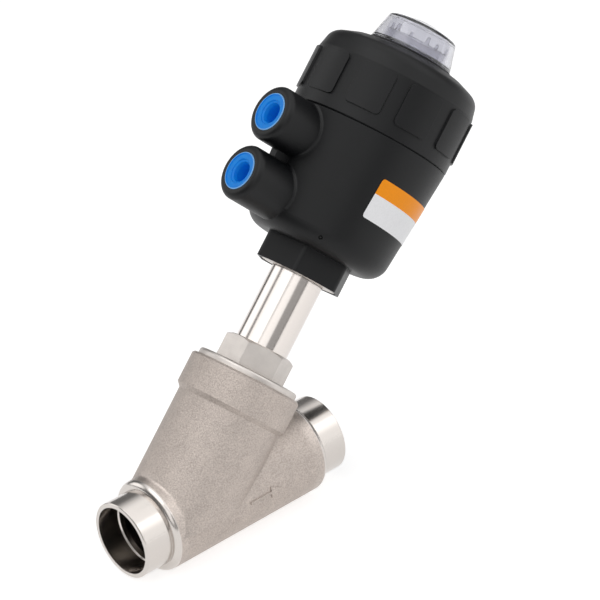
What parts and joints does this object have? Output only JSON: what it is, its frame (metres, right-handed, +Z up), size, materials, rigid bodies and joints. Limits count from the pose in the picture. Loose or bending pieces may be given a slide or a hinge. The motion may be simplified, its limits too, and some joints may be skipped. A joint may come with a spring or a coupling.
{
  "type": "pneumatic seat valve",
  "caption": "Pneumatic angle seat valve: cast body with weld ends, tube bonnet, turnable piston actuator with air ports and a clear position dome.",
  "frame": {"origin": "centre of the inlet weld end's face, on the pipe axis", "axes": "+X along the pipe from inlet to outlet, +Z up, so the stem leans 45 degrees from the pipe towards the outlet in the XZ plane"},
  "size_m": [0.1992, 0.0728, 0.1891],
  "materials": {
    "cast_stainless": "bead blasted casting",
    "turned_stainless": "turned and lightly blasted",
    "polished_stainless": "polished",
    "spring_steel": "drawn wire",
    "graphite": "pressed graphite, matt",
    "white_plastic": "turned fluoropolymer",
    "black_rubber": "moulded, matt",
    "black_plastic": "glass filled nylon, satin",
    "grey_plastic": "moulded, satin",
    "clear_plastic": "clear polycarbonate, glossy",
    "blue_plastic": "moulded polyethylene",
    "label_film": "printed film, satin"
  },
  "bodies": {
    "valve": {"valve_body": "cast_stainless", "body_gasket": "graphite", "bonnet": "turned_stainless", "bonnet_tube": "polished_stainless", "tube_flange": "turned_stainless", "thrust_washer": "white_plastic", "retaining_ring": "spring_steel", "packing_spring": "spring_steel", "packing_washer": "turned_stainless", "packing_ring_1": "white_plastic", "packing_ring_2": "white_plastic", "packing_ring_3": "white_plastic", "packing_ring_4": "white_plastic", "gland_bush": "white_plastic", "wiper_ring": "white_plastic", "guide_bush": "white_plastic", "rod_seal": "black_rubber"},
    "stem": {"spindle": "polished_stainless", "disc_holder": "turned_stainless", "seat_seal": "white_plastic", "seal_clamp": "turned_stainless", "disc_nut": "turned_stainless", "disc_pin": "turned_stainless", "piston": "black_plastic", "piston_seal": "black_rubber", "piston_guide": "white_plastic", "piston_nut": "turned_stainless", "indicator_rod": "grey_plastic"},
    "actuator": {"lower_housing": "black_plastic", "tube_seal": "black_rubber", "cover": "black_plastic", "cover_seal": "black_rubber", "return_spring": "spring_steel", "inner_spring": "spring_steel", "indicator_dome": "clear_plastic", "dome_seal": "black_rubber", "port_plug_lower": "blue_plastic", "port_plug_upper": "blue_plastic", "label": "label_film"}
  },
  "joints": [
    {"name": "actuator_turn", "type": "hinge", "parent": "valve", "child": "actuator", "pos_m": [0.11841, 0, 0.08811], "axis": [0.7071, 0, 0.7071], "continuous": true},
    {"name": "stem_lift", "type": "slide", "parent": "valve", "child": "stem", "axis": [0.7071, 0, 0.7071], "range_m": [0, 0.012], "stiffness_N_per_m": 4200, "springref_m": -0.04, "deforming": ["return_spring", "inner_spring"]}
  ]
}
